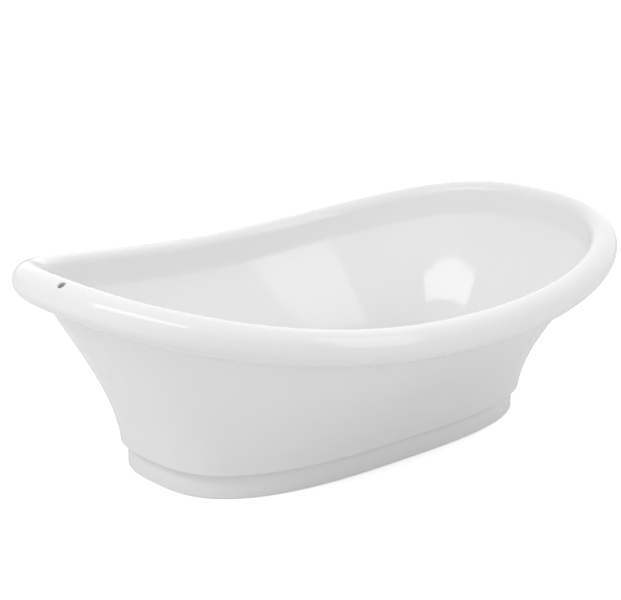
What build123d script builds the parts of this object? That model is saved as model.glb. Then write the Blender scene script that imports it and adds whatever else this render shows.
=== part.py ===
from build123d import *
import math
import os

os.makedirs("parts", exist_ok=True)

# A freestanding baby bath: one thin moulded shell with a rolled rim that rises to both ends,
# a drain plug that lifts out of its floor, and four anti-slip pads pressed in under its foot band.
# Millimetres. +Z is up, +X points to the drain end, and the origin is on the ground under the
# middle of the bath.

# ---- shell: overall sizes ----
bath_length = 900.0
bath_width = 579.0
end_height = 289.5
side_height = 231.0
wall_thickness = 3.0

# ---- shell: rolled rim ----
rim_radius = 22.8
rim_squareness = 2.55
lip_angle = 83.0
shoulder_radius = 15.0
neck_lean = 4.0
neck_start = 0.15
neck_finish = 0.5

# ---- shell: wall, flared in from the rim's centre line; its shape is two shares of that flare ----
end_flare = 110.7
side_flare = 105.7
foot_squareness = 2.85
lower_flare = 0.075
upper_flare = 0.60
flare_inset = 16.5
flare_drop = 27.5

# ---- shell: foot band, set in under the wall ----
band_height = 34.0
band_step = 9.6
edge_radius = 1.2

# ---- shell: floor ----
floor_height = 58.0
floor_fillet = 20.0

# ---- shell: drain, inset from the end of the wall's foot ----
drain_inset = 111.0
drain_radius = 19.0
seat_width = 7.5
seat_depth = 1.6
collar_wall = 3.5
collar_depth = 12.0

# ---- shell: hanging hole through the rim at the end away from the drain ----
hang_hole_radius = 5.5
hang_hole_angle = 62.0

# ---- anti-slip pads ----
pad_radius = 7.0
pad_recess = 2.0
pad_proud = 1.2
pad_stem_radius = 2.75
pad_stem_length = 8.0
pad_bearing = 43.0
boss_wall = 3.0
stem_hole_spare = 1.0

# ---- drain plug ----
plug_gap = 0.3
flange_thickness = 2.6
seal_thickness = 3.7
seal_waist = 1.1
seal_lip_height = 1.6
core_wall = 2.0
core_depth = 11.0
retainer_width = 1.6
retainer_height = 2.0
grip_radius = 10.0
grip_neck_radius = 6.5
grip_height = 15.0
grip_cap_height = 5.0
grip_edge_radius = 1.6

# ---- how finely the loft's sections are spaced, for one half, and how many run past each end ----
half_stations = 20
spare_stations = 3


class Outline:
    """A rounded-rectangle plan curve, which is an ellipse at squareness 2."""

    def __init__(self, length, width, squareness):
        self.a = length / 2
        self.b = width / 2
        self.power = squareness

    def point(self, angle):
        """Plan point at an angle that runs round from the drain end."""
        c = math.cos(angle)
        s = math.sin(angle)
        k = (abs(c) ** self.power + abs(s) ** self.power) ** (-1 / self.power)
        return self.a * k * c, self.b * k * s

    def normal(self, x, y):
        """Outward plan direction at a point of the curve."""
        nx = math.copysign(abs(x / self.a) ** (self.power - 1) / self.a, x)
        ny = math.copysign(abs(y / self.b) ** (self.power - 1) / self.b, y)
        size = math.hypot(nx, ny)
        return nx / size, ny / size

    def holds(self, x, y):
        """Whether a plan point is inside the curve."""
        return abs(x / self.a) ** self.power + abs(y / self.b) ** self.power < 1


rim_length = bath_length - 2 * rim_radius
rim_width = bath_width - 2 * rim_radius
rim_line = Outline(rim_length, rim_width, rim_squareness)
foot_line = Outline(rim_length - 2 * end_flare, rim_width - 2 * side_flare, foot_squareness)
band_bottom = pad_proud
ledge_height = band_bottom + band_height
floor_underside = floor_height - wall_thickness
drain_x = foot_line.a - drain_inset
seat_radius = drain_radius + seat_width
boss_radius = pad_radius + boss_wall
boss_top = band_bottom + pad_recess + pad_stem_length + stem_hole_spare + boss_wall


class Station:
    """A vertical plane square to the rim. Places in it are (distance out from the rim's centre, height)."""

    def __init__(self, angle):
        self.x, self.y = rim_line.point(angle)
        self.out_x, self.out_y = rim_line.normal(self.x, self.y)
        rise = (self.x / rim_line.a) ** 2
        self.rim_z = side_height - rim_radius + (end_height - side_height) * rise
        self.foot_d = self.foot_distance()

    def foot_distance(self):
        """Place of the wall's foot, found by halving the way in from the rim."""
        near = 0.0
        far = -bath_width / 2
        for _ in range(50):
            middle = (near + far) / 2
            if foot_line.holds(self.x + middle * self.out_x, self.y + middle * self.out_y):
                far = middle
            else:
                near = middle
        return near

    def space(self, place):
        d, z = place
        return Vector(self.x + d * self.out_x, self.y + d * self.out_y, z)

    def bezier(self, places):
        return Edge.make_bezier(*[self.space(p) for p in places])

    def line(self, start, end):
        return Edge.make_line(self.space(start), self.space(end))

    def arc(self, centre, radius, start, end):
        """Arc between two angles, which are in degrees up from outwards."""
        places = [polar(centre, radius, a) for a in (start, (start + end) / 2, end)]
        return Edge.make_three_point_arc(*[self.space(p) for p in places])


def polar(centre, radius, angle):
    a = math.radians(angle)
    return centre[0] + radius * math.cos(a), centre[1] + radius * math.sin(a)


def towards(start, end, reach):
    """Place at a given reach from start, in the direction of end."""
    size = math.hypot(end[0] - start[0], end[1] - start[1])
    return start[0] + (end[0] - start[0]) * reach / size, start[1] + (end[1] - start[1]) * reach / size


def wall_places(station, depth):
    """Control places of the flared wall from its foot up, at a depth into its thickness."""
    foot = (station.foot_d, ledge_height + edge_radius)
    top = (-flare_inset, station.rim_z - flare_drop)
    wide = top[0] - foot[0]
    high = top[1] - foot[1]
    low = (foot[0] + lower_flare * wide, foot[1] + high / 3)
    upper = (foot[0] + upper_flare * wide, foot[1] + high * 2 / 3)
    face = [foot, low, upper, top]
    places = []
    for i, (d, z) in enumerate(face):
        before = face[max(i - 1, 0)]
        after = face[min(i + 1, 3)]
        run = math.hypot(after[0] - before[0], after[1] - before[1])
        step_d = depth * (after[1] - before[1]) / run
        step_z = depth * (after[0] - before[0]) / run
        places.append((d - step_d, z + step_z))
    return places


def neck_places(wall, end):
    """Control places of the bend from the wall's slope to the lean at which the rim's shoulder ends."""
    span = math.hypot(end[0] - wall[3][0], end[1] - wall[3][1])
    run = math.hypot(wall[3][0] - wall[2][0], wall[3][1] - wall[2][1])
    start = towards(wall[2], wall[3], run + neck_start * span)
    return [wall[3], start, polar(end, neck_finish * span, -90 - neck_lean), end]


def section(station):
    """Closed section of rim, wall and foot band, drawn up the outside and down the inside."""
    t = wall_thickness
    r = edge_radius
    z = station.rim_z
    shoulder = (0, z + rim_radius - shoulder_radius)
    lip = polar((0, z), rim_radius - t / 2, -lip_angle)
    outer = wall_places(station, 0)
    inner = wall_places(station, t)
    inner[0] = (inner[0][0], ledge_height + t)
    turn = 180 - neck_lean
    neck_outer = polar(shoulder, shoulder_radius - t, turn)
    neck_inner = polar(shoulder, shoulder_radius, turn)
    band = station.foot_d - band_step
    foot_centre = (station.foot_d - r, ledge_height + r)
    edges = [
        station.arc((band - r, band_bottom + r), r, -90, 0),
        station.line((band, band_bottom + r), (band, ledge_height)),
        station.line((band, ledge_height), (station.foot_d - r, ledge_height)),
        station.arc(foot_centre, r, -90, 0),
        station.bezier(outer),
        station.bezier(neck_places(outer, neck_outer)),
        station.arc(shoulder, shoulder_radius - t, turn, 90),
        station.arc((0, z), rim_radius - t, 90, -lip_angle),
        station.arc(lip, t / 2, 180 - lip_angle, 360 - lip_angle),
        station.arc((0, z), rim_radius, -lip_angle, 90),
        station.arc(shoulder, shoulder_radius, 90, turn),
        station.bezier(neck_places(inner, neck_inner)[::-1]),
        station.bezier(inner[::-1]),
        station.line(inner[0], (band - t, ledge_height + t)),
        station.line((band - t, ledge_height + t), (band - t, band_bottom)),
        station.line((band - t, band_bottom), (band - r, band_bottom)),
    ]
    return Wire(edges)


def near_side(solid):
    """The half of a solid on the -Y side."""
    return solid.split(Plane.XZ, keep=Keep.TOP)


def half_ring():
    """Rim, wall and band of the near half, lofted past both ends so that the halves join smoothly."""
    first = -spare_stations
    last = half_stations + spare_stations
    wires = [section(Station(-math.pi * i / half_stations)) for i in range(first, last + 1)]
    return near_side(Solid.make_loft(wires, ruled=False))


def half_floor():
    """Floor plate of the near half, whose edge ends in the middle of the wall's thickness."""
    points = []
    for i in range(-spare_stations, half_stations + spare_stations + 1):
        station = Station(-math.pi * i / half_stations)
        foot, low, upper, top = wall_places(station, 0)
        s = (floor_height - foot[1]) / (top[1] - foot[1])
        d = ((1 - s) ** 3 * foot[0] + 3 * (1 - s) ** 2 * s * low[0]
             + 3 * (1 - s) * s ** 2 * upper[0] + s ** 3 * top[0])
        points.append(station.space((d - wall_thickness / 2, floor_underside)))
    edge = Edge.make_spline(points)
    face = Face(Wire([edge, Edge.make_line(points[-1], points[0])]))
    return near_side(Solid.extrude(face, Vector(0, 0, wall_thickness)))


def half_shell():
    """Near half of the shell, with the floor blended into the wall."""
    half = (half_ring() + half_floor()).solid()
    rim_of_floor = [e for e in half.edges()
                    if e.geom_type != GeomType.LINE
                    and abs(e.bounding_box().min.Z - floor_height) < 0.01
                    and abs(e.bounding_box().max.Z - floor_height) < 0.01]
    return half.fillet(floor_fillet, rim_of_floor)


def cylinder(radius, bottom, top, x=0.0, y=0.0):
    """Upright cylinder between two heights."""
    return Pos(x, y, (bottom + top) / 2) * Cylinder(radius, top - bottom)


def pad_places():
    """The four pads, name to plan place, set in from the band by a boss that stays inside it."""
    inset = band_step + boss_radius + edge_radius
    places = {}
    for end, side_x in (("drain", 1), ("hanging", -1)):
        for side, side_y in (("near", -1), ("far", 1)):
            x, y = foot_line.point(math.radians(pad_bearing))
            nx, ny = foot_line.normal(x, y)
            places[f"{end}_{side}"] = (side_x * (x - inset * nx), side_y * (y - inset * ny))
    return places


def hang_hole():
    """Drill along a radius of the rim's roll, on the long axis."""
    end = Station(math.pi)
    a = math.radians(hang_hole_angle)
    out = Vector(-math.cos(a), 0, math.sin(a))
    centre = Vector(end.x, 0, end.rim_z)
    plane = Plane(origin=centre + out * (rim_radius - 2 * wall_thickness), z_dir=out)
    return Solid.make_cylinder(hang_hole_radius, 4 * wall_thickness, plane)


def tub_shell():
    near = half_shell()
    shell = near + near.mirror(Plane.XZ)
    shell += cylinder(seat_radius + collar_wall, floor_underside - collar_depth,
                      floor_height - wall_thickness / 2, drain_x)
    shell -= cylinder(drain_radius, 0, 2 * floor_height, drain_x)
    shell -= cylinder(seat_radius, floor_height - seat_depth, 2 * floor_height, drain_x)
    for x, y in pad_places().values():
        boss = cylinder(boss_radius, band_bottom, boss_top, x, y)
        boss -= cylinder(pad_radius, 0, band_bottom + pad_recess, x, y)
        boss -= cylinder(pad_stem_radius, 0, boss_top - boss_wall, x, y)
        shell += boss
    return shell - hang_hole()


def anti_slip_pad(x, y):
    """Soft pad with a stem, standing proud of the band."""
    top = pad_proud + pad_recess
    return cylinder(pad_radius, 0, top, x, y) + cylinder(pad_stem_radius, top, top + pad_stem_length, x, y)


def turned(points):
    """Solid turned about the drain's axis from (radius, height) points."""
    profile = Wire.make_polygon([Vector(r, 0, z) for r, z in points], close=True)
    return Pos(drain_x, 0, 0) * Solid.revolve(Face(profile), 360, Axis.Z)


seat_height = floor_height - seat_depth
flange_bottom = seat_height + plug_gap
flange_top = flange_bottom + flange_thickness
core_bottom = flange_bottom - core_depth
seal_bottom = core_bottom + retainer_height
seal_radius = drain_radius - plug_gap
core_radius = seal_radius - seal_thickness
flange_radius = seat_radius - plug_gap


def plug_body():
    """Flanged hollow core with a grip on top and a retainer that holds the seal."""
    points = [
        (0, flange_top - core_wall),
        (core_radius - core_wall, flange_top - core_wall),
        (core_radius - core_wall, core_bottom),
        (core_radius + retainer_width, core_bottom),
        (core_radius + retainer_width, seal_bottom),
        (core_radius, seal_bottom),
        (core_radius, flange_bottom),
        (flange_radius, flange_bottom),
        (flange_radius, flange_top),
        (grip_neck_radius, flange_top),
        (grip_neck_radius, flange_top + grip_height - grip_cap_height),
        (grip_radius, flange_top + grip_height - grip_cap_height),
        (grip_radius, flange_top + grip_height),
        (0, flange_top + grip_height),
    ]
    body = turned(points)
    round_edges = [e for e in body.edges().filter_by(GeomType.CIRCLE)
                   if abs(e.radius - grip_radius) < 0.01
                   or abs(e.radius - flange_radius) < 0.01 and e.center().Z > flange_bottom + plug_gap]
    return body.fillet(grip_edge_radius, round_edges)


def plug_seal():
    """Soft ring on the core, with a lip at each end that fills the drain."""
    waist = seal_radius - seal_waist
    points = [
        (core_radius, seal_bottom),
        (seal_radius, seal_bottom),
        (seal_radius, seal_bottom + seal_lip_height),
        (waist, seal_bottom + 2 * seal_lip_height),
        (waist, flange_bottom - 2 * seal_lip_height),
        (seal_radius, flange_bottom - seal_lip_height),
        (seal_radius, flange_bottom),
        (core_radius, flange_bottom),
    ]
    return turned(points)


def main():
    parts = {"tub_shell": tub_shell(), "plug_body": plug_body(), "plug_seal": plug_seal()}
    for name, (x, y) in pad_places().items():
        parts[f"anti_slip_pad_{name}"] = anti_slip_pad(x, y)
    for name, shape in parts.items():
        export_step(shape, f"parts/{name}.step")


main()
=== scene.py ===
"""A white moulded baby bath with a rolled rim: its finishes, its studio and its camera."""

import logging
import math
from dataclasses import dataclass
from enum import Enum

import bmesh
import bpy
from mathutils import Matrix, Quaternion, Vector

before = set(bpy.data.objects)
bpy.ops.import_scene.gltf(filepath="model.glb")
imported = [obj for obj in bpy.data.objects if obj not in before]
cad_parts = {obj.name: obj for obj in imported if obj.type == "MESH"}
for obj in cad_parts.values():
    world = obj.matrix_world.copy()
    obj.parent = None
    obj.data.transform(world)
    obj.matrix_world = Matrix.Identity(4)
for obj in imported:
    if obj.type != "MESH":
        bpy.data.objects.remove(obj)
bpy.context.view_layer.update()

LOG = logging.getLogger("baby_bath")

SocketOrNumber = bpy.types.NodeSocket | float

WHITE = (1.0, 1.0, 1.0, 1.0)
# The share of its colour that a fully worn place keeps.
WORN_SHARE = 0.8
# The noise value above which scuffs gather into a patch.
WORN_PATCH = 0.45
# The point that the softboxes face, in metres.
BATH_MIDDLE = Vector((0, 0, 0.2))


class Slot(Enum):
    """Material slots of the record, one for each kind of moulded or rubber piece."""

    SHELL = "moulded_shell"
    PLUG = "plug_plastic"
    SEAL = "seal_rubber"
    PAD = "pad_rubber"


class ShaderGroup:
    """A shared shader node group, built once and placed in each material that wants its effect."""

    name = "group"
    inputs: tuple[tuple[str, float], ...] = ()
    outputs: tuple[str, ...] = ()

    def tree(self) -> bpy.types.NodeTree:
        """Returns the group, built the first time it is asked for."""
        made = bpy.data.node_groups.get(self.name)
        if made is not None:
            return made
        made = bpy.data.node_groups.new(self.name, "ShaderNodeTree")
        for label, value in self.inputs:
            socket = made.interface.new_socket(label, in_out="INPUT", socket_type="NodeSocketFloat")
            socket.default_value = value
        for label in self.outputs:
            made.interface.new_socket(label, in_out="OUTPUT", socket_type="NodeSocketFloat")
        source = made.nodes.new("NodeGroupInput")
        sink = made.nodes.new("NodeGroupOutput")
        self.wire(made, source, sink)
        return made

    def wire(self, tree: bpy.types.NodeTree, source: bpy.types.Node, sink: bpy.types.Node) -> None:
        """Adds the group's own nodes between its input and its output."""
        raise NotImplementedError

    def place(self, nodes: bpy.types.Nodes, **values: float) -> bpy.types.Node:
        """Puts the group into a material.

        Args:
            nodes: the material's nodes.
            values: input values, by socket name with spaces written as underscores.

        Returns:
            The group node.
        """
        node = nodes.new("ShaderNodeGroup")
        node.node_tree = self.tree()
        for label, value in values.items():
            node.inputs[label.replace("_", " ")].default_value = value
        return node


def feed(tree: bpy.types.NodeTree, value: SocketOrNumber, socket: bpy.types.NodeSocket) -> None:
    """Links another node's socket to an input, or sets the input to a number."""
    if isinstance(value, bpy.types.NodeSocket):
        tree.links.new(value, socket)
    else:
        socket.default_value = value


def noise(tree: bpy.types.NodeTree, scale: SocketOrNumber, detail: float = 3.0) -> bpy.types.NodeSocket:
    """Adds a noise texture on Object coordinates.

    Args:
        tree: the node tree to add to.
        scale: a socket or a number, in cells per metre.
        detail: octaves of the noise.

    Returns:
        The noise's value.
    """
    place = tree.nodes.new("ShaderNodeTexCoord")
    node = tree.nodes.new("ShaderNodeTexNoise")
    node.inputs["Detail"].default_value = detail
    tree.links.new(place.outputs["Object"], node.inputs["Vector"])
    feed(tree, scale, node.inputs["Scale"])
    return node.outputs[0]


def math_node(
    tree: bpy.types.NodeTree, operation: str, a: SocketOrNumber, b: SocketOrNumber
) -> bpy.types.NodeSocket:
    """Adds a math node and returns its output.

    Args:
        tree: the node tree to add to.
        operation: the name of Blender's math operation.
        a: first operand, a socket or a number.
        b: second operand, a socket or a number.

    Returns:
        The output socket.
    """
    node = tree.nodes.new("ShaderNodeMath")
    node.operation = operation
    for place, value in enumerate((a, b)):
        feed(tree, value, node.inputs[place])
    return node.outputs[0]


class MouldedSkin(ShaderGroup):
    """The faint flow marks and fine grain that a mould leaves, and the change of gloss they bring."""

    name = "moulded_skin"
    inputs = (
        ("Flow Scale", 5.0), ("Grain Scale", 900.0), ("Grain Share", 0.15),
        ("Gloss", 0.1), ("Gloss Range", 0.04),
    )
    outputs = ("Height", "Roughness")

    def wire(self, tree: bpy.types.NodeTree, source: bpy.types.Node, sink: bpy.types.Node) -> None:
        """Mixes long waves with fine grain, and lets the waves vary the gloss."""
        flow = noise(tree, source.outputs["Flow Scale"], detail=2.0)
        grain = noise(tree, source.outputs["Grain Scale"], detail=4.0)
        fine = math_node(tree, "MULTIPLY", grain, source.outputs["Grain Share"])
        tree.links.new(math_node(tree, "ADD", flow, fine), sink.inputs["Height"])
        swing = math_node(tree, "SUBTRACT", flow, 0.5)
        spread = math_node(tree, "MULTIPLY", swing, source.outputs["Gloss Range"])
        gloss = math_node(tree, "ADD", source.outputs["Gloss"], spread)
        tree.links.new(gloss, sink.inputs["Roughness"])


class HandlingWear(ShaderGroup):
    """Sparse hairline scuffs and a thin film, gathered into patches by handling and washing."""

    name = "handling_wear"
    inputs = (("Patch Scale", 9.0), ("Scuff Scale", 260.0), ("Amount", 0.5))
    outputs = ("Wear",)

    def wire(self, tree: bpy.types.NodeTree, source: bpy.types.Node, sink: bpy.types.Node) -> None:
        """Keeps the scuffs to the tops of long patches, and scales them by the amount."""
        cloud = noise(tree, source.outputs["Patch Scale"], detail=3.0)
        patch = math_node(tree, "SMOOTH_MAX", cloud, WORN_PATCH)
        lines = noise(tree, source.outputs["Scuff Scale"], detail=6.0)
        scuff = math_node(tree, "POWER", lines, 3.0)
        both = math_node(tree, "MULTIPLY", math_node(tree, "SUBTRACT", patch, WORN_PATCH), scuff)
        tree.links.new(math_node(tree, "MULTIPLY", both, source.outputs["Amount"]), sink.inputs["Wear"])


@dataclass(frozen=True)
class Finish:
    """A moulded finish, glossy or matt, with flow marks, grain and wear.

    Attributes:
        name: name of the material.
        shade: base colour.
        gloss: roughness where the surface is clean.
        gloss_range: how far the flow marks move the roughness.
        flow_scale: long waves per metre.
        grain_scale: grains per metre.
        grain_share: height of the grain, as a share of the waves.
        relief: height of the waves, in metres.
        wear: how much the scuffs show.
        glow: share of light that goes into the material and comes out nearby.
        glow_reach: how far that light travels, in metres.
    """

    name: str
    shade: tuple[float, float, float, float]
    gloss: float
    gloss_range: float
    flow_scale: float
    grain_scale: float
    grain_share: float
    relief: float
    wear: float
    glow: float = 0.0
    glow_reach: float = 0.004

    def material(self) -> bpy.types.Material:
        """Returns the finished material."""
        made = bpy.data.materials.new(self.name)
        made.use_nodes = True
        tree = made.node_tree
        shader = tree.nodes["Principled BSDF"]
        shader.inputs["IOR"].default_value = 1.5
        shader.inputs["Subsurface Weight"].default_value = self.glow
        shader.inputs["Subsurface Radius"].default_value = (1.0, 1.0, 1.0)
        shader.inputs["Subsurface Scale"].default_value = self.glow_reach
        skin = MouldedSkin().place(
            tree.nodes, Flow_Scale=self.flow_scale, Grain_Scale=self.grain_scale,
            Grain_Share=self.grain_share, Gloss=self.gloss, Gloss_Range=self.gloss_range,
        )
        wear = HandlingWear().place(tree.nodes, Amount=self.wear).outputs["Wear"]
        bump = tree.nodes.new("ShaderNodeBump")
        bump.inputs["Distance"].default_value = self.relief
        tree.links.new(skin.outputs["Height"], bump.inputs["Height"])
        tree.links.new(bump.outputs["Normal"], shader.inputs["Normal"])
        roughness = math_node(tree, "ADD", skin.outputs["Roughness"], wear)
        tree.links.new(roughness, shader.inputs["Roughness"])
        tint = tree.nodes.new("ShaderNodeMix")
        tint.data_type = "RGBA"
        tint.inputs["A"].default_value = self.shade
        tint.inputs["B"].default_value = tuple(WORN_SHARE * c for c in self.shade[:3]) + (1.0,)
        tree.links.new(wear, tint.inputs["Factor"])
        tree.links.new(tint.outputs["Result"], shader.inputs["Base Color"])
        return made


FINISHES = {
    Slot.SHELL: Finish(
        "white_moulding", (0.86, 0.86, 0.86, 1.0), gloss=0.07, gloss_range=0.03, flow_scale=5.0,
        grain_scale=900.0, grain_share=0.02, relief=0.0001, wear=0.5, glow=0.15,
    ),
    Slot.PLUG: Finish(
        "white_plug", (0.84, 0.84, 0.84, 1.0), gloss=0.22, gloss_range=0.08, flow_scale=30.0,
        grain_scale=2500.0, grain_share=0.3, relief=0.00008, wear=1.0,
    ),
    Slot.SEAL: Finish(
        "matt_seal_rubber", (0.72, 0.73, 0.74, 1.0), gloss=0.55, gloss_range=0.15, flow_scale=40.0,
        grain_scale=3000.0, grain_share=0.6, relief=0.0001, wear=1.5,
    ),
    Slot.PAD: Finish(
        "matt_pad_rubber", (0.70, 0.71, 0.72, 1.0), gloss=0.6, gloss_range=0.15, flow_scale=40.0,
        grain_scale=2200.0, grain_share=0.7, relief=0.00015, wear=2.0,
    ),
}

PIECES = {
    Slot.SHELL: ("tub_shell",),
    Slot.PLUG: ("plug_body",),
    Slot.SEAL: ("plug_seal",),
    Slot.PAD: tuple(
        f"anti_slip_pad_{end}_{side}" for end in ("drain", "hanging") for side in ("near", "far")
    ),
}


def dress(slot: Slot) -> None:
    """Gives the frame nodes of a slot their finish.

    Args:
        slot: the slot whose nodes are dressed.
    """
    material = FINISHES[slot].material()
    for node in PIECES[slot]:
        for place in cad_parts[node].material_slots:
            place.material = material
        LOG.info("dressed %s in %s", node, material.name)


@dataclass(frozen=True)
class Softbox:
    """A rectangular studio light that looks at the bath.

    Attributes:
        name: name of the light.
        bearing: direction from the bath in plan, in degrees from +X towards +Y.
        rise: elevation above the horizon, in degrees.
        distance: distance from the bath, in metres.
        width: width across, in metres.
        height: height, in metres.
        roll: turn about its own axis, in degrees.
        radiance: brightness of its face, where 1 is paper white.
    """

    name: str
    bearing: float
    rise: float
    distance: float
    width: float
    height: float
    roll: float
    radiance: float

    def build(self, target: Vector) -> bpy.types.Object:
        """Makes the light.

        Args:
            target: the point that it faces.

        Returns:
            The light object.
        """
        lamp = bpy.data.lights.new(self.name, "AREA")
        lamp.shape = "RECTANGLE"
        lamp.size = self.width
        lamp.size_y = self.height
        lamp.energy = self.radiance * math.pi * self.width * self.height
        obj = bpy.data.objects.new(self.name, lamp)
        bpy.context.scene.collection.objects.link(obj)
        a, e = math.radians(self.bearing), math.radians(self.rise)
        way = Vector((math.cos(a) * math.cos(e), math.sin(a) * math.cos(e), math.sin(e)))
        obj.location = target + way * self.distance
        turn = way.to_track_quat("Z", "Y") @ Quaternion((0, 0, 1), math.radians(self.roll))
        obj.rotation_mode = "QUATERNION"
        obj.rotation_quaternion = turn
        return obj


@dataclass
class Studio:
    """A pale floor, a dome brightest overhead, a white backdrop and a softbox on each side.

    Attributes:
        floor_radius: radius of the floor, in metres.
        floor_sides: sides of the floor's outline, enough to look round.
        floor_shade: shade of the floor.
        floor_gloss: roughness of the floor.
        floor_glow: light that the floor adds for the camera alone, which keeps it white.
        horizon: brightness of the dome at the horizon.
        zenith: brightness of the dome overhead.
        backdrop: brightness that the backdrop adds in the middle.
        backdrop_bearing: direction of the backdrop, in degrees from +X towards +Y.
        ends: brightness that the dome gains towards both ends of the bath.
    """

    floor_radius: float = 14.0
    floor_sides: int = 96
    floor_shade: float = 0.86
    floor_gloss: float = 0.9
    floor_glow: float = 0.5
    horizon: float = 0.38
    zenith: float = 0.76
    backdrop: float = 0.75
    backdrop_bearing: float = 47.5
    ends: float = 0.28

    def build(self) -> None:
        """Makes the floor, the dome and the softboxes."""
        self.floor()
        self.dome()
        for box in self.softboxes():
            box.build(BATH_MIDDLE)
            LOG.info("lit %s", box.name)

    def softboxes(self) -> tuple[Softbox, ...]:
        """Returns the two softboxes whose reflections show in the bath."""
        return (
            Softbox(
                "right_softbox", bearing=-60, rise=32, distance=2.4,
                width=0.85, height=2.1, roll=-27, radiance=1.35,
            ),
            Softbox(
                "left_softbox", bearing=180, rise=43, distance=2.4,
                width=2.5, height=0.62, roll=15, radiance=3.2,
            ),
        )

    def floor(self) -> None:
        """Makes the round floor."""
        shape = bmesh.new()
        bmesh.ops.create_circle(
            shape, cap_ends=True, segments=self.floor_sides, radius=self.floor_radius
        )
        mesh = bpy.data.meshes.new("studio_floor")
        shape.to_mesh(mesh)
        shape.free()
        obj = bpy.data.objects.new("studio_floor", mesh)
        bpy.context.scene.collection.objects.link(obj)
        mesh.materials.append(self.floor_finish())

    def floor_finish(self) -> bpy.types.Material:
        """Returns the matt paper of the floor, which glows a little for the camera alone."""
        finish = bpy.data.materials.new("floor_paper")
        finish.use_nodes = True
        tree = finish.node_tree
        shader = tree.nodes["Principled BSDF"]
        shader.inputs["Base Color"].default_value = (self.floor_shade,) * 3 + (1.0,)
        shader.inputs["Roughness"].default_value = self.floor_gloss
        shader.inputs["Specular IOR Level"].default_value = 0.0
        shader.inputs["Emission Color"].default_value = WHITE
        ray = tree.nodes.new("ShaderNodeLightPath")
        glow = math_node(tree, "MULTIPLY", ray.outputs["Is Camera Ray"], self.floor_glow)
        tree.links.new(glow, shader.inputs["Emission Strength"])
        return finish

    def dome(self) -> None:
        """Makes the surrounding light, dim at the horizon and bright overhead."""
        world = bpy.data.worlds.new("studio_dome")
        bpy.context.scene.world = world
        world.use_nodes = True
        tree = world.node_tree
        back = tree.nodes["Background"]
        place = tree.nodes.new("ShaderNodeTexCoord")
        split = tree.nodes.new("ShaderNodeSeparateXYZ")
        tree.links.new(place.outputs["Generated"], split.inputs[0])
        spread = tree.nodes.new("ShaderNodeMapRange")
        spread.inputs["To Min"].default_value = self.horizon
        spread.inputs["To Max"].default_value = self.zenith
        tree.links.new(split.outputs["Z"], spread.inputs["Value"])
        facing = tree.nodes.new("ShaderNodeVectorMath")
        facing.operation = "DOT_PRODUCT"
        bearing = math.radians(self.backdrop_bearing)
        facing.inputs[1].default_value = (math.cos(bearing), math.sin(bearing), 0.0)
        tree.links.new(place.outputs["Generated"], facing.inputs[0])
        ahead = math_node(tree, "POWER", math_node(tree, "MAXIMUM", facing.outputs["Value"], 0.0), 2.0)
        sheet = math_node(tree, "MULTIPLY", ahead, self.backdrop)
        along = math_node(tree, "MULTIPLY", split.outputs["X"], split.outputs["X"])
        sides = math_node(tree, "MULTIPLY", along, self.ends)
        total = math_node(tree, "ADD", math_node(tree, "ADD", spread.outputs["Result"], sheet), sides)
        tree.links.new(total, back.inputs["Strength"])
        back.inputs["Color"].default_value = WHITE


@dataclass
class ProductCamera:
    """A long lens at the left front corner of the bath, looking a little down.

    Attributes:
        bearing: turn of the camera from square to the long side, in degrees.
        rise: elevation above the horizon, in degrees.
        distance: distance to the aim, in metres.
        aim: the point in the middle of the picture.
        roll: tilt of the picture, in degrees.
        lens: focal length, in millimetres.
    """

    bearing: float = 42.512
    rise: float = 15.88
    distance: float = 2.1523
    aim: tuple[float, float, float] = (-0.0395, 0.0, 0.1958)
    roll: float = 0.765
    lens: float = 91.96

    def build(self) -> bpy.types.Object:
        """Makes the camera the scene's own and returns it."""
        data = bpy.data.cameras.new("product_camera")
        data.lens = self.lens
        data.sensor_width = 36.0
        obj = bpy.data.objects.new("product_camera", data)
        bpy.context.scene.collection.objects.link(obj)
        a, e = math.radians(self.bearing), math.radians(self.rise)
        back = Vector((-math.sin(a) * math.cos(e), -math.cos(a) * math.cos(e), math.sin(e)))
        obj.location = Vector(self.aim) + back * self.distance
        turn = (-back).to_track_quat("-Z", "Y") @ Quaternion((0, 0, 1), math.radians(self.roll))
        obj.rotation_mode = "QUATERNION"
        obj.rotation_quaternion = turn
        bpy.context.scene.camera = obj
        return obj


def main() -> None:
    """Dresses the bath, then lights and frames it."""
    logging.basicConfig(level=logging.INFO, format="%(name)s: %(message)s")
    bpy.context.scene.view_settings.view_transform = "Standard"
    for slot in Slot:
        dress(slot)
    Studio().build()
    ProductCamera().build()


if __name__ == "__main__":
    main()
